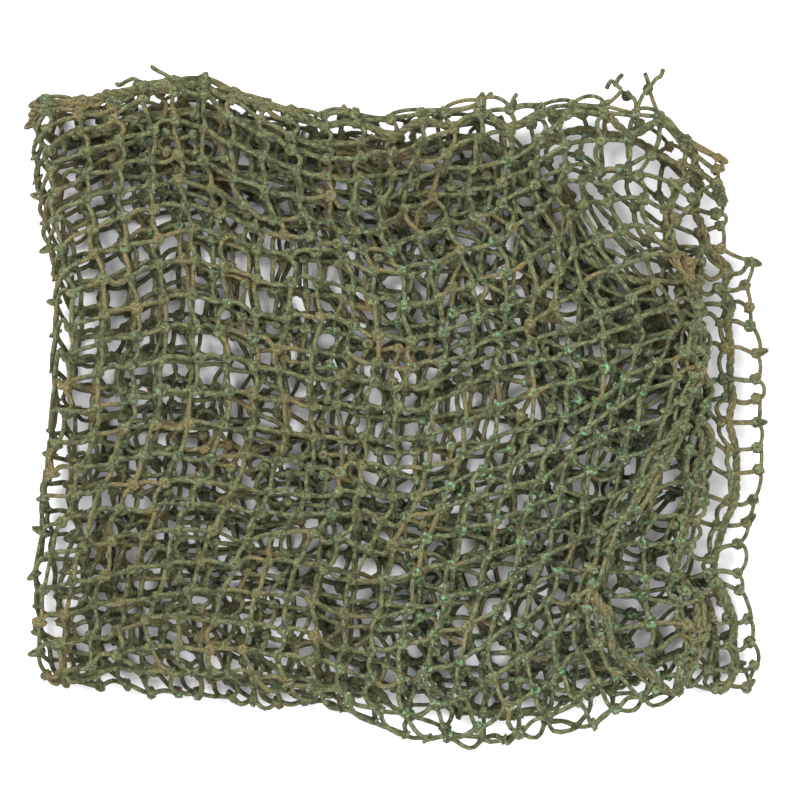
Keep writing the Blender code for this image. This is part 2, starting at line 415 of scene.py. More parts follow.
def grown(share, shift):
    """A pull at shares of the way to its edge or corner."""
    size, power = shift
    return size * np.maximum(share, 0) ** power


def hermite(t, a, b, start, end):
    """Points at shares t of a curve from a to b, with the slopes start and end."""
    return (
        (1 + 2 * t) * (1 - t) ** 2 * a
        + t * (1 - t) ** 2 * start
        + t * t * (3 - 2 * t) * b
        - t * t * (1 - t) * end
    )


def through(rows, column, at):
    """Values of a smooth curve through one column of a table, at an array of keys."""
    key, value = rows[:, 0], rows[:, column]
    slope = np.empty(len(rows))
    slope[1:-1] = (value[2:] - value[:-2]) / (key[2:] - key[:-2])
    slope[[0, -1]] = (np.diff(value) / np.diff(key))[[0, -1]]
    i = np.clip(np.searchsorted(key, at, side="right") - 1, 0, len(rows) - 2)
    span = key[i + 1] - key[i]
    t = np.clip((at - key[i]) / span, 0.0, 1.0)
    return hermite(t, value[i], value[i + 1], span * slope[i], span * slope[i + 1])


def curve(points, count, closed=False):
    """Points along a smooth curve through the given ones, from end to end or round a loop."""
    points = np.asarray(points, dtype=float)
    if closed:
        padded = np.concatenate([points[-1:], points, points[:2]])
        t = np.arange(count) * len(points) / count
    else:
        padded = np.concatenate([2 * points[:1] - points[1:2], points, 2 * points[-1:] - points[-2:-1]])
        t = np.linspace(0, len(points) - 1 - TINY, count)
    i = t.astype(int)
    f = (t - i)[:, None]
    before, a, b, after = (padded[i + k] for k in range(4))
    bend = 2 * before - 5 * a + 4 * b - after
    return 0.5 * (2 * a + (b - before) * f + bend * f**2 + (3 * a - before - 3 * b + after) * f**3)


def unit(vectors):
    """Vectors in the same directions, 1 long."""
    return vectors / np.maximum(np.linalg.norm(vectors, axis=-1, keepdims=True), TINY)


def turned(vectors, angle):
    """Vectors turned by an angle in radians about the upright."""
    c, s = np.cos(angle), np.sin(angle)
    x, y = vectors[..., 0], vectors[..., 1]
    return np.stack([x * c - y * s, x * s + y * c, vectors[..., 2]], axis=-1)


def square_to(ahead, vectors):
    """The part of vectors that is square to the directions ahead."""
    return vectors - ahead * np.sum(vectors * ahead, axis=-1, keepdims=True)


def neighbours(axis):
    """Slices of the grid: the knots before each bar along an axis and those after it."""
    if axis == 0:
        return np.s_[:-1], np.s_[1:]
    return np.s_[:, :-1], np.s_[:, 1:]


def flat_place(i, j):
    """Where the knot or part of a bar numbered i, j lies in the flat net."""
    return i * np.where(i < 0, PITCH_LEFT, PITCH_RIGHT), j * PITCH_V


def skewed(u, v):
    """Points of the net as seen from the folds, which cross its meshes aslant."""
    return u - through(LEFT_SHEARS, 1, np.abs(v)), v + through(FRONT_SHEARS, 1, u)


def bend_over(distance, radius):
    """A sheet bent back over itself: how far from the bend its points lie, and on which side."""
    angle = distance / radius
    bent = np.abs(angle) < QUARTER_TURN
    away = np.where(bent, -radius * np.cos(angle), np.abs(distance) - QUARTER_TURN * radius)
    return away, np.where(bent, np.sin(angle), np.sign(distance))


def fold(u, v):
    """Points of the flat net in the neatly folded stack."""
    y, level = bend_over(v, FRONT_RADIUS)
    radius = LEFT_RADIUS + FRONT_RADIUS * level
    x, side = bend_over(u, radius)
    return x, y, radius * side


def ripple(u, v, seed, length, waves=20):
    """A smooth random field over the flat net, about 1 high, with waves of about this length."""
    draw = np.random.default_rng(seed)
    total = np.zeros_like(u)
    for _ in range(waves):
        heading = draw.uniform(0, FULL_TURN)
        pace = FULL_TURN / length * draw.uniform(0.5, 1.5)
        phase = draw.uniform(0, FULL_TURN)
        total += np.cos(pace * (u * math.cos(heading) + v * math.sin(heading)) + phase)
    return total * math.sqrt(2 / waves)


def ridges(x, y):
    """How far rolls and bunches raise the top layer."""
    total = np.zeros_like(x)
    for ridge_x, ridge_y, half_length, half_width, angle, height in RIDGES:
        turn = math.radians(angle)
        along = (x - ridge_x) * math.cos(turn) + (y - ridge_y) * math.sin(turn)
        aside = (y - ridge_y) * math.cos(turn) - (x - ridge_x) * math.sin(turn)
        total += height * bell(along / half_length, aside / half_width)
    return total


def drifts(x, y, level):
    """How far points on a level are pushed across the stack."""
    shift = np.zeros(x.shape + (2,))
    for at_x, at_y, half_x, half_y, shift_x, shift_y, at_level, spread in DRIFTS:
        near = bell((x - at_x) / half_x, (y - at_y) / half_y, (level - at_level) / spread)
        shift += near[..., None] * (shift_x, shift_y)
    return shift


def gathers(x, y, level):
    """How far points on a level are gathered or spread."""
    shift = np.zeros(x.shape + (2,))
    for at_x, at_y, radius, share, at_level, spread in GATHERS:
        away = np.stack([x - at_x, y - at_y], axis=-1)
        near = bell(away[..., 0] / radius, away[..., 1] / radius, (level - at_level) / spread)
        shift += share * near[..., None] * away
    return shift


class Lie:
    """How points of the flat net lie in the stack.

    share_x and share_y run from 0 at a fold to 1 at the open edge across from it. upper is 1 in the top
    and second layers, and side goes from 1 in the top and bottom layers to -1 in the other two.
    """

    def __init__(self, u, v):
        self.u, self.v = u, v
        left, self.front = skewed(u, v)
        self.x, self.y, z = fold(left, self.front)
        self.above = z - LOWEST_LAYER
        self.level = self.above / (-2 * LOWEST_LAYER)
        share_y = (self.y - STACK_FRONT) / STACK_DEPTH
        self.upper = ramp(z, -PARTING, PARTING)
        self.side = np.sign(self.front) * ramp(share_y, 0.0, FRONT_EASE)
        outer, inner = np.maximum(self.side, 0), np.maximum(-self.side, 0)
        self.top, self.second = self.upper * outer, self.upper * inner
        self.bottom, self.third = (1 - self.upper) * outer, (1 - self.upper) * inner
        self.share_x = (self.x - STACK_LEFT) / (STACK_WIDTH + (1 - self.upper) * (u - left))
        self.share_y = self.spread_rows(share_y)

    def spread_rows(self, share_y):
        """Shares of the depth, with the upper layers' rows spread as in the photograph."""
        skew = self.front - self.v
        dropped = DROPPED_ROWS * PITCH_V * ramp(self.u, *DROPPED_U)
        reach = np.minimum(skew, SECOND_REACH) * (1 - ramp(self.u, *SECOND_REACH_U))
        share_y = share_y / (1 + (self.top * (skew - dropped) - self.second * reach) / STACK_DEPTH)
        far = ramp(self.u, *ROW_RISE_U)
        steady, late = (blend(by_fold, away, far) for by_fold, away in zip(ROW_RISE, ROW_RISE_FAR))
        rise = steady + late * np.minimum(share_y, 1) ** 3
        return share_y + self.top * rise * share_y * (1 - share_y)

    def in_outline(self):
        """Places across the stack, and how far back each of them may lie."""
        upper, share_x, share_y = self.upper, self.share_x, self.share_y
        back = through(ENDS, 2, share_x)
        x = blend(through(SIDES, 1, share_y), through(SIDES, 2, share_y), share_x)
        y = blend(through(ENDS, 1, share_x), back, share_y)
        corner = np.maximum(share_x, 0) * np.maximum(share_y, 0)
        pull = grown(corner, CORNER_PULL_Y)
        retreat = self.bottom * grown(corner, BOTTOM_RETREAT)
        x -= retreat + self.third * grown(corner, THIRD_RETREAT_X) + grown(corner, CORNER_PULL_X)
        y -= retreat + self.third * grown(corner, THIRD_RETREAT_Y) + pull
        x -= upper * 0.5 * (1 - self.side) * grown(share_x, SECOND_PULL)
        x += upper * grown(share_x, UPPER_SPREAD) - self.bottom * grown(share_x, BOTTOM_PULL)
        inner = ramp(-self.front, 0.0, INNER_FOLD_EASE)
        x += INNER_FOLD_PULL * inner * (1 - ramp(share_x, 0.0, INNER_FOLD_END))
        excess = np.maximum(TUCK - (HALF_U - self.u), 0)
        tucked = upper * (1 - ramp(self.v, *TUCK_V))
        x -= tucked * TUCK_SHARE * excess**2 / (excess + TUCK_SOFTNESS)
        return x, y + self.ends_in(), back - pull - EDGE_LOOP

    def ends_in(self):
        """How far back the front folds lie, less how far forward the back edges do."""
        at_middle = ramp(self.share_x, *FRONT_MIDDLE)
        left_part = ramp(self.share_x, *UPPER_FRONT_START) * (1 - at_middle)
        right_part = at_middle * (1 - ramp(self.share_x, *LOWER_FRONT_END))
        front = self.upper * left_part * grown(1 - self.share_y, UPPER_FRONT_PULL)
        front += (1 - self.upper) * right_part * grown(1 - self.share_y, LOWER_FRONT_PULL)
        top, second, third, bottom = BACK_PULLS
        right = ramp(self.u, -LEFT_EASE, LEFT_EASE)
        back = np.where(self.v > 0, blend(bottom, top, right), blend(third, second, right))
        back = grown(self.share_y, (back, BACK_PULL_POWER))
        return front - back * (1 - ramp(self.share_x, *BACK_PULL_END))

    def heights(self, x, y):
        """Heights at places x, y before the layers settle."""
        lift = either(ramp(self.x, *RIGHT_RISE), ramp(self.y, *BACK_RISE))
        by_fold = 1 - ramp(self.x, *LEFT_FALL) * ramp(self.y, *FRONT_FALL)
        loft = blend(FLAT_LOFT, 1, either(lift, by_fold))
        height = blend(RESTING_HEIGHT, CORDED_HEIGHT, lift) + self.above * loft
        height += self.level * ridges(x, y)
        return height + RIPPLE * self.level * ripple(self.u, self.v, 13, RIPPLE_LENGTH)

    def pushed_about(self, x, y):
        """Places with the net's drifts, gathers, sways and curls."""
        inner = 1
        for share in (self.share_x, self.share_y):
            inner = inner * ramp(share, 0.0, EDGE_EASE) * (1 - ramp(share, 1 - EDGE_EASE, 1.0))
        moved = drifts(x, y, self.level) * blend(DRIFT_AT_EDGE, 1, inner)[..., None]
        moved += gathers(x, y, self.level)
        calm = blend(CALM, 1, ramp(self.share_x, *CALM_END))
        sway = SWAY * blend(*SWAY_BY_LEVEL, self.level) * blend(SWAY_AT_EDGE, 1, inner) * calm
        curl = CURL * blend(*CURL_BY_LEVEL, self.level) * blend(CURL_AT_EDGE, 1, inner) * calm
        for size, length, seeds in ((sway, SWAY_LENGTH, (11, 12)), (curl, CURL_LENGTH, (14, 15))):
            fields = [ripple(self.u, self.v, seed, length) for seed in seeds]
            moved += size[..., None] * np.stack(fields, axis=-1)
        return x + moved[..., 0], y + moved[..., 1]

    def slid(self, x, y, edge):
        """Places y with the top layer's cord slid, and none behind the outline's edge."""
        at_cord = bell((edge - y - CORD_INSET) / SLIDE_DEPTH)
        for slide_x, half_width, shift in CORD_SLIDES:
            y = y + shift * bell((x - slide_x) / half_width) * at_cord * self.top
        return np.minimum(y, edge)


def lay(u, v):
    """Points of the flat net in the uneven stack, before single knots are moved."""
    lie = Lie(u, v)
    x, y, edge = lie.in_outline()
    height = lie.heights(x, y)
    x, y = lie.pushed_about(x, y)
    y = lie.slid(x, y, edge)
    return np.stack([x + FOOTPRINT_SHIFT[0], y + FOOTPRINT_SHIFT[1], height], axis=-1)


def last_rows():
    """The outermost row of knots in each column."""
    u, _ = flat_place(COLUMNS, 0)
    return MESHES_V - np.round(DROPPED_ROWS * ramp(u, *DROPPED_U)).astype(int)


def knots_there():
    """Which knots of the full grid the net has."""
    return ROWS <= last_rows()[:, None]


def pull_bars(knots, axis, longest, there):
    """Draw together the knots of stretched bars and part those that crowd."""
    low, high = neighbours(axis)
    ahead = knots[high] - knots[low]
    length = np.maximum(np.linalg.norm(ahead, axis=-1, keepdims=True), TINY)
    wrong = np.maximum(length - longest, 0) + np.minimum(length - CROWDED * longest, 0)
    wrong *= (there[low] & there[high])[..., None]
    move = PULL * wrong / length * ahead
    move[..., 2] = 0
    knots[low] += move
    knots[high] -= move


def place_knots():
    """The knots' places, as an array over u, v of x, y, z."""
    u, v = flat_place(*np.meshgrid(COLUMNS, ROWS, indexing="ij"))
    start = lay(u, v)
    shake = np.random.default_rng(21).normal(0, KNOT_SHIFT, start.shape)
    shake[..., 2] *= 0.5
    start = start + shake
    knots = start.copy()
    hold = np.full(u.shape, HOLD_WITHIN)
    hold[(0, 1, -1, -2), :] = HOLD_AT_EDGE
    hold[:, (0, 1, -1, -2)] = HOLD_AT_EDGE
    left, front = skewed(u, v)
    hold[(np.abs(left) < PITCH_RIGHT) | (np.abs(front) < PITCH_V)] = HOLD_AT_EDGE
    there = knots_there()
    for _ in range(PULL_ROUNDS):
        pull_bars(knots, 0, BAR_LENGTH_U, there)
        pull_bars(knots, 1, BAR_LENGTH_V, there)
        knots += hold[..., None] * (start - knots)
    return knots


def knot_headings(knots):
    """The directions of each knot's two twines, across and along the net."""
    draw = np.random.default_rng(31)
    shape = knots.shape[:2]
    turn = np.radians(draw.normal(0, KNOT_TURN, shape))
    spread = np.radians(LEG_TURN * draw.uniform(*LEG_TURN_SHARES, shape))
    # The net shows its front from above where u and v have the same sign, and its back elsewhere.
    face = np.where(COLUMNS[:, None] * ROWS[None, :] >= 0, 1.0, -1.0)
    across = turned(unit(np.gradient(knots, axis=0)), turn + spread * face)
    along = turned(unit(np.gradient(knots, axis=1)), turn - spread * face)
    return across, along


def bars(knots, heading, axis, length, seed):
    """Curved bars between neighbouring knots, each with points at the shares ALONG_BAR."""
    low, high = neighbours(axis)
    a, b = knots[low], knots[high]
    chord = np.linalg.norm(b - a, axis=-1)
    reach = (LEG_REACH * chord)[..., None, None]
    leaving, coming = heading[low][..., None, :], heading[high][..., None, :]
    t = ALONG_BAR[:, None]
    points = hermite(t, a[..., None, :], b[..., None, :], reach * leaving, reach * coming)

    # A bar that is longer than its chord bows to the side and rises.
    fullest = np.sqrt(3 * chord * np.maximum(length - chord, LEAST_SLACK) / 8)
    draw = np.random.default_rng(seed)
    i, j = np.indices(chord.shape)
    trend = ripple(i * PITCH_RIGHT, j * PITCH_V, seed + 1, BOW_LENGTH)
    bow = fullest * BOW_SHARES[axis] * np.clip(0.5 * (trend + draw.normal(size=chord.shape)), -1, 1)
    rise = fullest * draw.uniform(*RISE_SHARES, chord.shape)
    bulge = bow[..., None] * turned(unit(b - a), QUARTER_TURN) + rise[..., None] * (0.0, 0.0, 1.0)

    # A bar that goes over a fold runs round it instead.
    i, j = i - MESHES_LEFT, j - MESHES_V
    step_i, step_j = (1, 0) if axis == 0 else (0, 1)
    before, after = skewed(*flat_place(i, j)), skewed(*flat_place(i + step_i, j + step_j))
    over_fold = (before[0] * after[0] < 0) | (before[1] * after[1] < 0)
    round_fold = lay(*flat_place(i + 0.5 * step_i, j + 0.5 * step_j)) - points[..., BAR_SEGMENTS // 2, :]
    bulge = np.where(over_fold[..., None], round_fold, bulge)
    return points + hump(t) * bulge[..., None, :]


def layer_of(u, v):
    """Places in the stacking order: bottom 0, third 1, second 3 and top 5, or one less where tucked."""
    left, front = skewed(u, v)
    tucked = (HALF_U - u < TUCK) & (v < sum(TUCK_V) / 2)
    upper = np.where(front > 0, 5, 3) - tucked
    return np.where(left > 0, upper, np.where(front > 0, 0, 1))


def close_pairs(places, cell):
    """All pairs of points in the same or neighbouring cells of a square grid."""
    stride = 4096
    key = np.floor(places / cell).astype(int) @ (stride, 1)
    order = np.argsort(key, kind="stable")
    ordered = key[order]
    found = []
    for step_x in (-1, 0, 1):
        for step_y in (-1, 0, 1):
            wanted = key + step_x * stride + step_y
            first = np.searchsorted(ordered, wanted, side="left")
            count = np.searchsorted(ordered, wanted, side="right") - first
            one = np.repeat(np.arange(len(key)), count)
            offset = np.arange(count.sum()) - np.repeat(np.cumsum(count) - count, count)
            other = order[np.repeat(first, count) + offset]
            found.append(np.stack([one, other]))
    return np.concatenate(found, axis=1)


def crossings(places, radius, layer, loose):
    """Pairs of points, one above the other, and how far apart in height they belong."""
    lower, upper = close_pairs(places[:, :2], 2 * KNOT_RADIUS)
    keep = (layer[lower] < layer[upper]) & loose[lower] & loose[upper]
    lower, upper = lower[keep], upper[keep]
    apart = np.linalg.norm(places[lower, :2] - places[upper, :2], axis=1)
    touch = radius[lower] + radius[upper]
    clear = touch * (1 - ramp(apart, TOUCH[0] * touch, TOUCH[1] * touch))
    keep = clear > LEAST_CLEARANCE
    return lower[keep], upper[keep], clear[keep]


def point_numbers():
    """Grid numbers i, j of the knots, then of the inner points of the bars."""
    t = ALONG_BAR[1:-1]
    i, j = COLUMNS[:, None, None], ROWS[None, :, None]
    groups = [np.broadcast_arrays(*pair) for pair in ((i, j), (i[:-1] + t, j), (i, j[:, :-1] + t))]
    return [np.concatenate([group[k].ravel() for group in groups]) for k in (0, 1)]


def settle(knots, u_bars, v_bars):
    """Lift each point clear of what lies under it, and keep the bars smooth."""
    u, v = flat_place(*point_numbers())
    left, front = skewed(u, v)
    layer = layer_of(u, v)
    loose = (np.abs(left) > HELD_AT_FOLD * PITCH_RIGHT) & (np.abs(front) > HELD_AT_FOLD * PITCH_V)
    groups = knots, u_bars[:, :, 1:-1], v_bars[:, :, 1:-1]
    sizes = [group[..., 0].size for group in groups]
    split = np.cumsum(sizes)[:-1]
    places = np.concatenate([group.reshape(-1, 3) for group in groups])
    radius = np.repeat((KNOT_RADIUS, TWINE_RADIUS, TWINE_RADIUS), sizes)
    lower, upper, clear = crossings(places, radius, layer, loose)
    height = np.maximum(places[:, 2], radius)
    for level in range(LAYERS):
        here = (layer == level) & loose
        mine = layer[upper] == level
        lowest = radius.copy()
        np.maximum.at(lowest, upper[mine], height[lower[mine]] + clear[mine])
        for _ in range(EASE_ROUNDS):
            eased = 0.5 * (height + ease(height, split, knots.shape[:2]))
            height = np.where(here, np.maximum(eased, lowest), height)
    for group, settled in zip(groups, np.split(height, split)):
        group[..., 2] = settled.reshape(group.shape[:-1])
    for axis, bar in enumerate((u_bars, v_bars)):
        low, high = neighbours(axis)
        bar[:, :, 0], bar[:, :, -1] = knots[low], knots[high]


def ease(height, split, shape):
    """Each point's height as its neighbours would have it."""
    knots, *inner = np.split(height, split)
    knots = knots.reshape(shape)
    total, count = np.zeros(shape), np.zeros(shape)
    eased = []
    for axis, bar in enumerate(inner):
        low, high = neighbours(axis)
        bar = bar.reshape(*knots[low].shape, BAR_SEGMENTS - 1)
        full = np.concatenate([knots[low][..., None], bar, knots[high][..., None]], axis=2)
        eased.append(0.5 * (full[..., :-2] + full[..., 2:]))
        total[low] += bar[..., 0]
        total[high] += bar[..., -1]
        count[low] += 1
        count[high] += 1
    return np.concatenate([part.ravel() for part in (total / count, *eased)])


def carry(paths, closed, hint):
    """Two directions across each path that don't twist along it, and how far they are off once round."""
    if closed:
        ahead = unit(np.roll(paths, -1, axis=1) - np.roll(paths, 1, axis=1))
    else:
        ahead = unit(np.gradient(paths, axis=1))
    side = np.empty_like(paths)
    side[:, 0] = unit(np.cross(ahead[:, 0], hint))
    for k in range(1, paths.shape[1]):
        side[:, k] = unit(square_to(ahead[:, k], side[:, k - 1]))
    other = np.cross(ahead, side)
    last = square_to(ahead[:, 0], side[:, -1])
    gap = np.arctan2(np.sum(last * other[:, 0], axis=-1), np.sum(last * side[:, 0], axis=-1))
    return side, other, gap


def sweep(paths, radii, sides, closed=False):
    """Round tubes along paths: their points, by path, ring and side, and strand coordinates."""
    side, other, gap = carry(paths, closed, (0.31, 0.17, 0.93))
    angle = np.arange(sides) * FULL_TURN / sides
    around = np.broadcast_to(angle, (*paths.shape[:2], sides))
    if closed:
        around = around - (gap[:, None] * np.arange(paths.shape[1]) / paths.shape[1])[..., None]
    ring = np.cos(around)[..., None] * side[:, :, None] + np.sin(around)[..., None] * other[:, :, None]
    points = paths[:, :, None] + ring * radii[..., None, None]
    step = np.linalg.norm(np.diff(paths, axis=1), axis=-1)
    along = np.concatenate([np.zeros((len(paths), 1)), np.cumsum(step, axis=1)], axis=1)
    strand = np.broadcast_arrays(np.cos(angle), np.sin(angle), along[..., None])
    return points, np.stack(strand, axis=-1)


def tube_faces(count, rings, sides, closed=False):
    """Quads of many tubes, and their end caps, as arrays of point numbers."""
    base = np.arange(count)[:, None, None] * rings * sides
    ring = np.arange(rings if closed else rings - 1)[:, None]
    side = np.arange(sides)
    next_ring, next_side = (ring + 1) % rings, (side + 1) % sides
    corners = (ring, side), (ring, next_side), (next_ring, next_side), (next_ring, side)
    quads = np.stack([base + a * sides + b for a, b in corners], axis=-1).reshape(-1, 4)
    if closed:
        return [quads]
    first = base[:, 0] + side[::-1]
    last = base[:, 0] + (rings - 1) * sides + side
    return [quads, np.concatenate([first, last])]


def placed(name, data):
    """A new object in the scene."""
    made = bpy.data.objects.new(name, data)
    bpy.context.scene.collection.objects.link(made)
    return made


class Shape:
    """Gathers the tubes of one piece."""

    def __init__(self):
        self.parts = []
        self.faces = []
        self.total = 0

    def add(self, points, strand, tone, faces, raised=0.0):
        """Add tubes, with a tone for each."""
        tone = tone[:, None, None]
        strand = strand + tone[..., None] * (0, 0, TONE_OFFSET)
        tones = np.broadcast_to(tone + raised, points.shape[:-1]).ravel()
        self.parts.append((points.reshape(-1, 3), strand.reshape(-1, 3), tones))
        self.faces += [face + self.total for face in faces]
        self.total += len(tones)

    def tubes(self, paths, radii, sides, tone, closed=False):
        """Add a tube round each path."""
        points, strand = sweep(paths, radii, sides, closed)
        self.add(points, strand, tone, tube_faces(len(paths), paths.shape[1], sides, closed))

    def loops(self, paths, draw, closed=False):
        """Add thin loops of twine along the paths, none through the floor."""
        paths[..., 2] = np.maximum(paths[..., 2], TWINE_RADIUS)
        radii = np.full(paths.shape[:2], LOOP_RADIUS)
        self.tubes(paths, radii, BAR_SIDES, draw.random(len(paths)), closed)

    def piece(self, name, material):
        """The tubes as one object, with strand coordinates and tones for the material."""
        points, strands, tones = (np.concatenate(part) for part in zip(*self.parts))
        points *= MM
        points[:, 2] = np.maximum(points[:, 2], 0)
        mesh = bpy.data.meshes.new(name)
        mesh.vertices.add(len(points))
        mesh.vertices.foreach_set("co", points.astype(np.float32).ravel())
        sizes = np.concatenate([np.full(len(face), face.shape[1]) for face in self.faces])
        corners = np.concatenate([face.ravel() for face in self.faces])
        mesh.loops.add(len(corners))
        mesh.loops.foreach_set("vertex_index", corners.astype(np.int32))
        mesh.polygons.add(len(sizes))
        starts = np.concatenate([[0], np.cumsum(sizes)[:-1]])
        mesh.polygons.foreach_set("loop_start", starts.astype(np.int32))
        mesh.polygons.foreach_set("use_smooth", np.ones(len(sizes), dtype=bool))
        mesh.update(calc_edges=True)
        strand = mesh.attributes.new("strand", "FLOAT_VECTOR", "POINT")
        strand.data.foreach_set("vector", strands.astype(np.float32).ravel())
        tone = mesh.attributes.new("tone", "FLOAT", "POINT")
        tone.data.foreach_set("value", tones.astype(np.float32))
        mesh.materials.append(material)
        return placed(name, mesh)


def knot_wraps(shape, knots, across, along, tone, seed):
    """The twine wound round each crossing, turned and sized a little differently each time."""
    draw = np.random.default_rng(seed)
    count = len(knots)
    kinds = []
    for _ in range(WRAP_KINDS):
        bent = np.array(KNOT_WRAP) + draw.normal(0, WRAP_BEND, (len(KNOT_WRAP), 3))
        path = curve(bent * WRAP_SCALE, WRAP_POINTS, closed=True)[None]
        kinds.append(sweep(path, np.full(path.shape[:2], WRAP_RADIUS), WRAP_SIDES, closed=True))
    turn = draw.integers(0, 4, count) * QUARTER_TURN + draw.normal(0, WRAP_TURN, count)
    flip = np.where(draw.random(count) < 0.5, -1.0, 1.0)
    size = draw.normal(1.0, WRAP_SIZE, count)
    kind = draw.integers(0, len(kinds), count)
    local, strand = (np.concatenate(parts)[kind] for parts in zip(*kinds))
    local = turned(local * size[:, None, None, None], turn[:, None, None])
    local[..., 1:] *= flip[:, None, None, None]
    up = unit(np.cross(across, along))
    level_x = unit(across + turned(along, -QUARTER_TURN))
    axes = np.stack([level_x, np.cross(up, level_x), up], axis=1)
    points = knots[:, None, None] + local @ axes[:, None]
    shape.add(points, strand, tone, tube_faces(count, WRAP_POINTS, WRAP_SIDES, closed=True), KNOT_TONE)


def weave_sign(index):
    """The cord goes over two bars and under two."""
    return np.where((index // 2) % 2 == 0, 1.0, -1.0)


def net_normals(knots):
    """The net's own upward direction at each knot, which turns over at the folds."""
    return unit(np.cross(np.gradient(knots, axis=0), np.gradient(knots, axis=1)))


def cord_push(pitch, side, numbers, normals):
    """How far the cord pushes the points of the outermost bars with these numbers."""
    share = 1 - (CORD_INSET - EDGE_LOOP) / pitch
    near = bell((ALONG_BAR - (share if side > 0 else 1 - share)) / BAR_RISE_WIDTH)
    return BAR_RISE * (weave_sign(numbers)[:, None] * near)[..., None] * normals[:, None]


def weave_bars(knots, u_bars, v_bars):
    """Push the bars that the cord crosses off its path."""
    normals = net_normals(knots)
    columns = np.arange(len(COLUMNS))
    for side, pitch, bar in ((-1, PITCH_LEFT, 0), (1, PITCH_RIGHT, -1)):
        lean = 0.5 * (normals[bar] + normals[bar - side])
        u_bars[bar] -= cord_push(pitch, side, ROWS, lean)
        rows = last_rows() + MESHES_V - 1 if side > 0 else 0 * columns
        lean = 0.5 * (normals[columns, rows] + normals[columns, rows + 1])
        v_bars[columns, rows] -= cord_push(PITCH_V, side, COLUMNS, lean)


def on_net(grid, u, v):
    """Values of an array over the knots at places between them."""
    x = np.where(u < 0, u / PITCH_LEFT, u / PITCH_RIGHT) + MESHES_LEFT
    x = np.clip(x, 0, len(COLUMNS) - 1 - TINY)
    y = np.clip(v / PITCH_V + MESHES_V, 0, 2 * MESHES_V - TINY)
    i, j = x.astype(int), y.astype(int)
    f, g = (x - i)[:, None], (y - j)[:, None]
    low = grid[i, j] * (1 - f) + grid[i + 1, j] * f
    high = grid[i, j + 1] * (1 - f) + grid[i + 1, j + 1] * f
    return low * (1 - g) + high * g


def cord_route(knots):
    """The cord's middle line, with a point at each bar that it crosses."""
    i, j = COLUMNS[1:-1], ROWS[1:-1]
    u, v = flat_place(i, j)
    last = last_rows()
    over = (u > CORD_OVER[0]) & (u < CORD_OVER[1])
    back = np.stack([
        u,
        last[1:-1] * PITCH_V + EDGE_LOOP - CORD_INSET,
        np.where(over, 1.0, weave_sign(i)),
    ])
    right_v = v[j < last[-1]][::-1]
    right = np.stack([np.full(len(right_v), HALF_U - CORD_INSET), right_v, -np.sign(right_v)])
    front = np.stack([u, np.full(len(i), CORD_INSET - HALF_V), weave_sign(i)])[:, ::-1]
    left = np.stack([np.full(len(j), CORD_INSET - HALF_U), v, weave_sign(j)])
    u, v, sign = np.concatenate([back, right, front, left], axis=1)
    route = on_net(knots, u, v) + CORD_RISE * sign[:, None] * unit(on_net(net_normals(knots), u, v))
    route[:, 2] = np.maximum(route[:, 2], CORD_RADIUS + 0.1)
    return route


def make_cord(knots, material):
    """Three strands laid up into one closed cord."""
    middle = curve(cord_route(knots), CORD_POINTS, closed=True)
    looped = np.concatenate([middle, middle[:1]])
    along = np.concatenate([[0], np.cumsum(np.linalg.norm(np.diff(looped, axis=0), axis=1))])
    even = np.linspace(0, along[-1], CORD_POINTS, endpoint=False)
    middle = np.stack([np.interp(even, along, looped[:, k]) for k in range(3)], axis=1)
    side, other, gap = (found[0] for found in carry(middle[None], True, (0.0, 0.0, 1.0)))
    turns = round(along[-1] / CORD_LAY)
    angle = even / along[-1] * (FULL_TURN * turns - gap)
    offset = CORD_RADIUS - STRAND_RADIUS
    paths = []
    for strand in range(3):
        around = (angle + strand * FULL_TURN / 3)[:, None]
        paths.append(middle + offset * (np.cos(around) * side + np.sin(around) * other))
    shape = Shape()
    radii = np.full((3, CORD_POINTS), STRAND_RADIUS)
    shape.tubes(np.array(paths), radii, STRAND_SIDES, np.array(STRAND_TONES), closed=True)
    return shape.piece("drawcord_strands", material)


def edge_loops(shape, knots, side_u, side_v, draw):
    """The loops beyond the outermost knots of a quarter's two open edges."""
    last = last_rows() + MESHES_V
    i = len(COLUMNS) - 1 if side_u > 0 else 0
    rows = np.arange(MESHES_V, last[i] + 1) if side_v > 0 else np.arange(0, MESHES_V + 1)
    columns = np.arange(MESHES_LEFT, i + 1) if side_u > 0 else np.arange(0, MESHES_LEFT + 1)
    j = last[columns] if side_v > 0 else 0 * columns
    edges = (
        (knots[i, rows], knots[i, rows] - knots[i - side_u, rows]),
        (knots[columns, j], knots[columns, j] - knots[columns, j - side_v]),
    )
    t = np.linspace(0, 1, LOOP_POINTS)[:, None]
    for row, outward in edges:
        out = unit(outward)
        out = unit(out[:-1] + out[1:])
        out[:, 2] *= LOOP_SLOPE
        out = turned(out, draw.normal(0, LOOP_TURN, len(out)))
        bulge = 4 * EDGE_LOOP * draw.uniform(*LOOP_REACH, len(out))[:, None, None] * out[:, None]
        swing = draw.normal(0, LOOP_SWING, (len(out), 1, 3)) * (1.0, 1.0, 0.8)
        shape.loops(hermite(t, row[:-1, None], row[1:, None], bulge, -bulge) + hump(t) * swing, draw)
        add_ears(shape, row, outward, EAR_SHARE, draw)


def fold_ears(shape, knots, draw):
    """Small loops along the left fold."""
    left, _ = skewed(*flat_place(COLUMNS[:, None], ROWS[None, :]))
    on_fold = knots[np.abs(left) < 0.5 * PITCH_RIGHT]
    add_ears(shape, on_fold, np.tile((-1.0, 0.0, 0.0), (len(on_fold), 1)), FOLD_EAR_SHARE, draw)


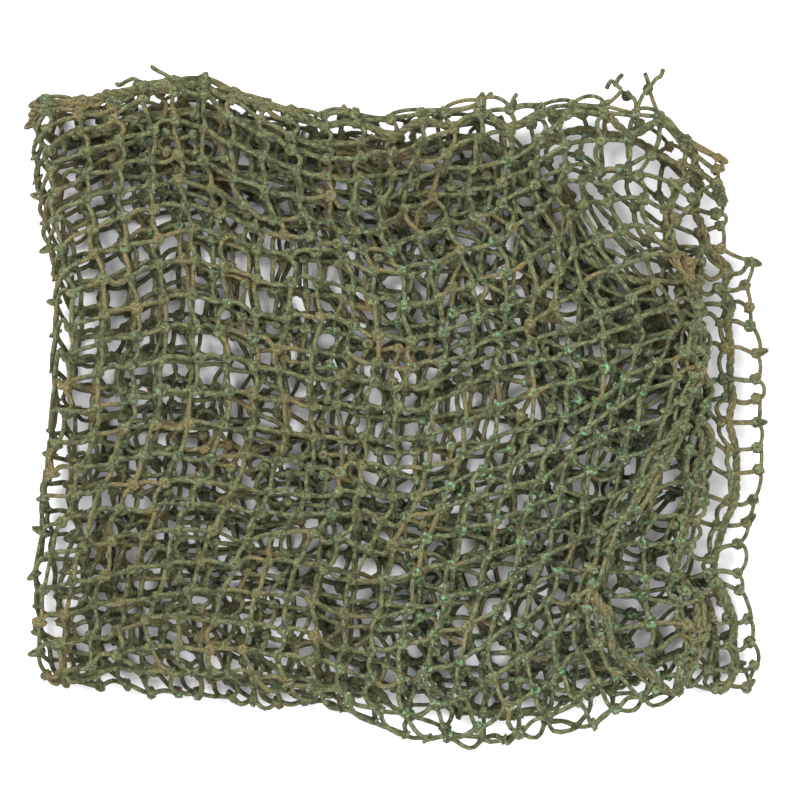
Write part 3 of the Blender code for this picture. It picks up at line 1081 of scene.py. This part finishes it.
def add_ears(shape, row, outward, share, draw):
    """Small tight loops that stand out from some knots."""
    chosen = draw.random(len(row)) < share
    knots, out = row[chosen], unit(outward[chosen])
    out = turned(out, draw.normal(0, EAR_TURN, len(out)))
    aside = turned(out, QUARTER_TURN)
    reach = EAR_REACH * draw.uniform(*EAR_SIZES, len(knots))[:, None, None]
    around = np.linspace(0, FULL_TURN, EAR_POINTS, endpoint=False)[None, :, None]
    even, tapered = EAR_WIDTHS
    paths = (
        knots[:, None]
        + reach * 0.5 * (1 - np.cos(around)) * out[:, None]
        + reach * np.sin(around) * (even + tapered * np.cos(around)) * aside[:, None]
    )
    paths[..., 2] += 0.5 * TWINE_RADIUS * np.sin(around[..., 0])
    shape.loops(paths, draw, closed=True)


def over_floor(pixels, height):
    """Where pixels of the photograph lie, at a height over the floor."""
    away = (np.array(pixels, dtype=float) - NET_MIDDLE) * (PHOTO_SCALE, -PHOTO_SCALE) + FOOTPRINT_SHIFT
    return np.column_stack([away, np.full(len(away), height)])


def cut_ends(shape, edge, draw):
    """Cut ends, each from the nearest of the edge's knots, and the knots tied in them."""
    paths = []
    for pixels in CUT_ENDS:
        points = over_floor(pixels, CUT_HEIGHT)
        root = edge[np.argmin(np.linalg.norm(edge[:, :2] - points[0, :2], axis=1))]
        points[0] = root
        points[:, 2] = np.linspace(root[2], CUT_HEIGHT, len(points))
        paths.append(curve(points, CUT_POINTS))
    paths.append(curve(over_floor(CUT_TWIG, CUT_HEIGHT), CUT_POINTS))
    paths = np.array(paths)
    radii = np.full(paths.shape[:2], LOOP_RADIUS) * np.linspace(1, CUT_FRAY, CUT_POINTS)
    shape.tubes(paths, radii, BAR_SIDES, draw.random(len(paths)))
    knots = over_floor(CUT_KNOTS, CUT_HEIGHT)
    across = np.tile((0.8, 0.6, 0.0), (len(knots), 1))
    along = turned(across, QUARTER_TURN)
    knot_wraps(shape, knots, across, along, draw.random(len(knots)), seed=90)


def on_side(numbers, side, start=0, end=0):
    """The knots or bars on one side of a fold. Its own knots are on the positive side."""
    middle = -numbers[0]
    return slice(middle, len(numbers) - end) if side > 0 else slice(start, middle)


def make_net(knots, u_bars, v_bars, material):
    """The net's pieces, one for each quarter of the flat net."""
    across, along = knot_headings(knots)
    there = knots_there()
    u_there, v_there = (there[low] & there[high] for low, high in (neighbours(0), neighbours(1)))
    pieces = []
    draw = np.random.default_rng(61)
    for number, (name, side_u, side_v) in enumerate(QUARTERS):
        shape = Shape()
        u_here = on_side(COLUMNS, side_u, 0, 1), on_side(ROWS, side_v, 1, 1)
        v_here = on_side(COLUMNS, side_u, 1, 1), on_side(ROWS, side_v, 0, 1)
        for paths in (u_bars[u_here][u_there[u_here]], v_bars[v_here][v_there[v_here]]):
            radii = TWINE_RADIUS * draw.normal(1.0, UNEVENNESS, (len(paths), 1))
            radii = radii * draw.normal(1.0, UNEVENNESS, paths.shape[:2])
            radii[:, (0, -1)] *= SWELL_AT_KNOT
            shape.tubes(paths, radii, BAR_SIDES, draw.random(len(paths)))
        edge_loops(shape, knots, side_u, side_v, draw)
        here = on_side(COLUMNS, side_u), on_side(ROWS, side_v)
        middle, across_here, along_here = (grid[here][there[here]] for grid in (knots, across, along))
        tone = draw.random(len(middle))
        knot_wraps(shape, middle, across_here, along_here, tone, seed=70 + number)
        if name == "top":
            fold_ears(shape, knots, draw)
            columns = np.arange(MESHES_LEFT, len(COLUMNS))
            cut_ends(shape, knots[columns, last_rows()[columns] + MESHES_V], draw)
        pieces.append(shape.piece(f"net_{name}", material))
    return pieces


def srgb(colour):
    """A colour that isn't nearly black, in steps of 0 to 255, as linear light."""
    return (*(((step / 255 + 0.055) / 1.055) ** 2.4 for step in colour), 1.0)


class Painter:
    """Builds a material's nodes. A value is a number, a colour or another node's output."""

    def __init__(self, name):
        self.material = bpy.data.materials.new(name)
        self.material.use_nodes = True
        self.tree = self.material.node_tree
        self.shader = self.tree.nodes["Principled BSDF"]

    def fill(self, node, inputs):
        """Set or link some inputs of a node."""
        for name, value in inputs.items():
            if hasattr(value, "links"):
                self.tree.links.new(value, node.inputs[name])
            else:
                node.inputs[name].default_value = value

    def node(self, kind, inputs, output, **settings):
        """One output of a new node."""
        made = self.tree.nodes.new(f"ShaderNode{kind}")
        for name, value in settings.items():
            setattr(made, name, value)
        self.fill(made, inputs)
        return made.outputs[output]

    def attribute(self, name, output):
        """A value that the mesh has at its points."""
        return self.node("Attribute", {}, output, attribute_name=name)

    def parts(self, vector):
        """The x, y and z of a vector."""
        return self.node("SeparateXYZ", {0: vector}, 0).node.outputs

    def math(self, operation, *values):
        """A function of values."""
        return self.node("Math", dict(enumerate(values)), 0, operation=operation)

    def line(self, value, factor, offset):
        """A value times a factor, plus an offset."""
        return self.math("ADD", self.math("MULTIPLY", value, factor), offset)

    def noise(self, place, scale, detail):
        """Noise with about this many waves to a metre."""
        return self.node("TexNoise", {"Vector": place, "Scale": scale, "Detail": detail}, "Fac")

    def mix(self, share, a, b, **settings):
        """Two colours mixed."""
        return self.node("Mix", {"Factor": share, 6: a, 7: b}, 2, data_type="RGBA", **settings)

    def ramp(self, value, low, high):
        """The same as the ramp of numbers."""
        inputs = {"Value": value, "From Min": low, "From Max": high}
        return self.node("MapRange", inputs, "Result", interpolation_type="SMOOTHSTEP")


def twine_material(name):
    """Twisted cotton twine with mottled dye, tan wear and green flecks."""
    *colours, green_share = TWINES[name]
    base, dark, tan, green = (srgb(colour) for colour in colours)
    paint = Painter(name)
    place = paint.node("TexCoord", {}, "Object")
    tone = paint.attribute("tone", "Fac")
    # Three plies, which go once round the twine in 5.5 mm.
    cosine, sine, along = paint.parts(paint.attribute("strand", "Vector"))
    around = paint.math("ARCTAN2", sine, cosine)
    twist = paint.math("MULTIPLY", along, FULL_TURN / 5.5)
    ply = paint.ramp(paint.math("SINE", paint.line(around, 3.0, twist)), -1.0, 0.6)
    # The net turns greener to the right and the front, though not at its right edge.
    x, y, _ = paint.parts(place)
    drift = paint.line(paint.noise(place, 14.0, 2.0), 0.16, paint.line(y, -0.6, x))
    drift = paint.line(paint.ramp(x, 0.10, 0.145), -0.22, drift)
    greener = paint.ramp(drift, -0.02, 0.24)
    # Mottled dye, worn to tan in places.
    colour = paint.mix(paint.ramp(paint.noise(place, 330.0, 4.0), 0.36, 0.64), dark, base)
    worn = paint.line(paint.math("FRACT", tone), 0.12, paint.noise(place, 55.0, 2.0))
    worn = paint.line(greener, -0.06, worn)
    colour = paint.mix(paint.ramp(worn, 0.53, 0.80), colour, tan)
    # Green flecks in patches, mostly on the knots.
    fleck = paint.ramp(paint.noise(place, 560.0, 4.0), 0.48, 0.70)
    area = paint.ramp(paint.noise(place, 22.0, 1.0), 0.30, 0.62)
    at_knot = paint.line(paint.ramp(tone, 1.5, KNOT_TONE), 0.65, 0.35)
    for factor in (area, at_knot, paint.line(greener, 0.9, 0.75), green_share):
        fleck = paint.math("MULTIPLY", fleck, factor)
    colour = paint.mix(fleck, colour, green)
    # Shade between the plies and the fibres, and their relief.
    fibre = paint.ramp(paint.noise(place, 1700.0, 3.0), 0.35, 0.65)
    crease = paint.line(fibre, 0.80, paint.line(ply, 0.16, 0.385))
    relief = {"Height": paint.line(ply, 0.5, fibre), "Strength": 0.8, "Distance": 0.0004}
    paint.fill(paint.shader, {
        "Base Color": paint.mix(1.0, colour, crease, blend_type="MULTIPLY"),
        "Normal": paint.node("Bump", relief, "Normal"),
        "Roughness": 0.92,
        "Specular IOR Level": 0.2,
        "Sheen Weight": 0.35,
        "Sheen Roughness": 0.6,
        "Sheen Tint": base,
    })
    return paint.material


def make_stage():
    """A pale floor, soft light from all round and three large soft lamps."""
    bpy.ops.mesh.primitive_plane_add(size=6.0, location=(0, 0, 0))
    floor = bpy.context.object
    floor.name = "floor"
    paper = Painter("floor_paper")
    paper.fill(paper.shader, {"Base Color": (0.86, 0.86, 0.87, 1.0), "Roughness": 0.9})
    floor.data.materials.append(paper.material)
    world = bpy.data.worlds.new("studio")
    world.use_nodes = True
    background = world.node_tree.nodes["Background"]
    background.inputs["Color"].default_value = (1.0, 1.0, 1.0, 1.0)
    background.inputs["Strength"].default_value = 0.8
    bpy.context.scene.world = world
    for name, place, size, power in LAMPS:
        lamp = bpy.data.lights.new(name, "AREA")
        lamp.size = size
        lamp.energy = power
        light = placed(name, lamp)
        light.location = place
        light.rotation_euler = (-light.location).to_track_quat("-Z", "Y").to_euler()


def make_camera():
    """Straight above the net, with the photograph's framing."""
    lens = bpy.data.cameras.new("camera")
    lens.sensor_width = SENSOR
    lens.lens = SENSOR * (CAMERA_HEIGHT - LOOK_HEIGHT) / (2 * PHOTO_MIDDLE[0] * PHOTO_SCALE)
    camera = placed("camera", lens)
    camera.location = over_floor([PHOTO_MIDDLE], CAMERA_HEIGHT)[0] * MM
    bpy.context.scene.camera = camera


def main():
    """Build the scene and declare its pieces."""
    bpy.context.scene.view_settings.view_transform = "Standard"
    make_stage()
    make_camera()
    knots = place_knots()
    across, along = knot_headings(knots)
    u_bars = bars(knots, across, 0, BAR_LENGTH_U, seed=41)
    v_bars = bars(knots, along, 1, BAR_LENGTH_V, seed=43)
    settle(knots, u_bars, v_bars)
    weave_bars(knots, u_bars, v_bars)
    for piece in make_net(knots, u_bars, v_bars, twine_material("net_twine")):
        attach(piece, "root")
        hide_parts("net")
    cord = make_cord(knots, twine_material("cord_twine"))
    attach(cord, "root")
    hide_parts("drawcord")


main()
